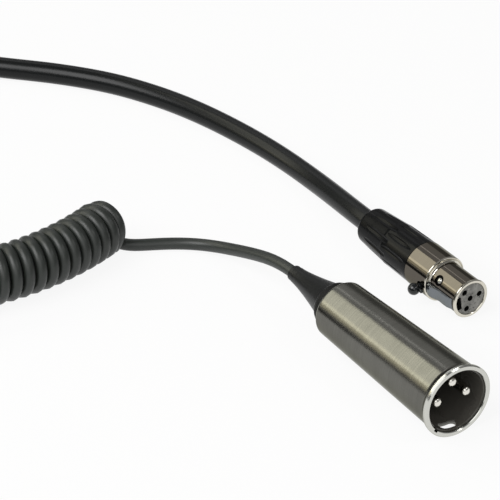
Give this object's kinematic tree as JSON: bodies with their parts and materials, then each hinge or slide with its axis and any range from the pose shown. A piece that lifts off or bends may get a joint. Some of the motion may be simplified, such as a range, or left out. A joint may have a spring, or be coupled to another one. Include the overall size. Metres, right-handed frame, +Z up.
{
  "type": "coiled xlr to mini xlr cable",
  "caption": "Microphone cable: an XLR plug on a coiled cord, joined by a moulded sleeve to a straight lead with a latching mini XLR socket plug.",
  "frame": {"origin": "on the table, under the middle of the box round the two plugs", "axes": "+Z up from the table; both plugs lie along Y with their mating faces towards -Y; the XLR plug is on the -X side and the mini XLR plug on the +X side"},
  "size_m": [0.1659, 0.2397, 0.019],
  "materials": {
    "nickel_satin": "satin nickel plate",
    "nickel_bright": "bright nickel plate",
    "pin_silver": "silver plate",
    "contact_gold": "gold plate",
    "insert_black": "moulded, satin",
    "insert_grey": "moulded, speckled grey",
    "clamp_plastic": "moulded",
    "boot_rubber": "matte",
    "boot_gloss": "gloss black",
    "latch_steel": "satin, blue-grey",
    "button_black": "gloss black",
    "screw_steel": "turned",
    "cord_gloss": "gloss black jacket",
    "cord_matte": "matte charcoal jacket",
    "wire_red": "insulation",
    "wire_white": "insulation",
    "wire_blue": "insulation",
    "wire_yellow": "insulation"
  },
  "bodies": {
    "cable": {"xlr_shell": "nickel_satin", "xlr_liner": "insert_black", "xlr_insert": "insert_black", "xlr_pin_1": "pin_silver", "xlr_pin_2": "pin_silver", "xlr_pin_3": "pin_silver", "xlr_ground_spring": "contact_gold", "xlr_lock_screw": "screw_steel", "xlr_cord_clamp": "clamp_plastic", "xlr_boot": "boot_rubber", "xlr_wire_1": "wire_red", "xlr_wire_2": "wire_white", "xlr_wire_3": "wire_blue", "mini_shell": "nickel_bright", "mini_insert": "insert_grey", "mini_socket_1": "contact_gold", "mini_socket_2": "contact_gold", "mini_socket_3": "contact_gold", "mini_socket_4": "contact_gold", "mini_lock_pin": "screw_steel", "mini_cord_clamp": "screw_steel", "mini_boot": "boot_gloss", "mini_wire_1": "wire_red", "mini_wire_2": "wire_white", "mini_wire_3": "wire_blue", "mini_wire_4": "wire_yellow", "straight_lead": "cord_gloss", "coiled_cord": "cord_matte", "plug_tail": "cord_matte", "splice_tail": "cord_matte", "splice_sleeve": "boot_rubber"},
    "latch": {"mini_latch": "latch_steel", "mini_latch_button": "button_black"}
  },
  "joints": [
    {"name": "latch_press", "type": "hinge", "parent": "cable", "child": "latch", "pos_m": [0.01334, 0.0156, 0.00548], "axis": [-0.1305, 0, 0.9914], "range_deg": [0, 4], "stiffness_Nm_per_rad": 0.03}
  ]
}
